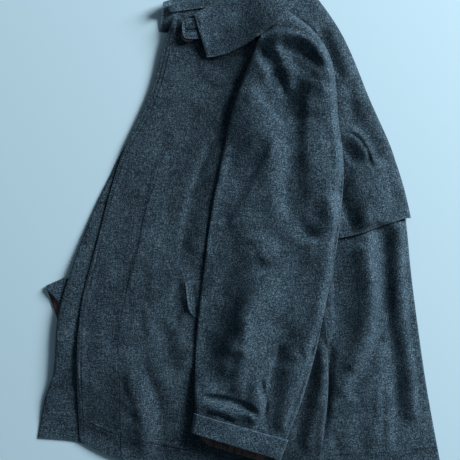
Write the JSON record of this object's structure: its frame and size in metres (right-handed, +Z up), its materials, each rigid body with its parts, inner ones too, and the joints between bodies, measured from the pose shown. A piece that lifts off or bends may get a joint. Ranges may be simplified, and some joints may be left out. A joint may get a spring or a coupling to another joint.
{
  "type": "wool mackintosh coat, folded flat",
  "caption": "Fly-front raglan wool mackintosh with storm cape and turned-back cuffs, folded in half and lying flat on its side.",
  "frame": {"origin": "middle of the coat's outline, on the surface it lies on", "axes": "+Z up from the surface, +Y from hem to neck, +X from the coat's front to its centre back"},
  "size_m": [0.6868, 0.894, 0.0579],
  "materials": {
    "wool": "brushed salt-and-pepper wool tweed, slate blue-grey",
    "lining": "smooth dark brown twill lining",
    "button": "polished dark horn-like resin"
  },
  "bodies": {
    "root": {"right_front": "wool", "back": "wool", "left_front": "wool", "left_pocket_flap": "wool", "cape": "wool", "throat_button": "button", "throat_tab": "wool", "left_sleeve": "wool", "left_cuff": "wool", "left_cuff_lining": "lining", "right_sleeve": "wool", "right_cuff": "wool", "right_cuff_lining": "lining", "collar": "wool"}
  },
  "joints": []
}
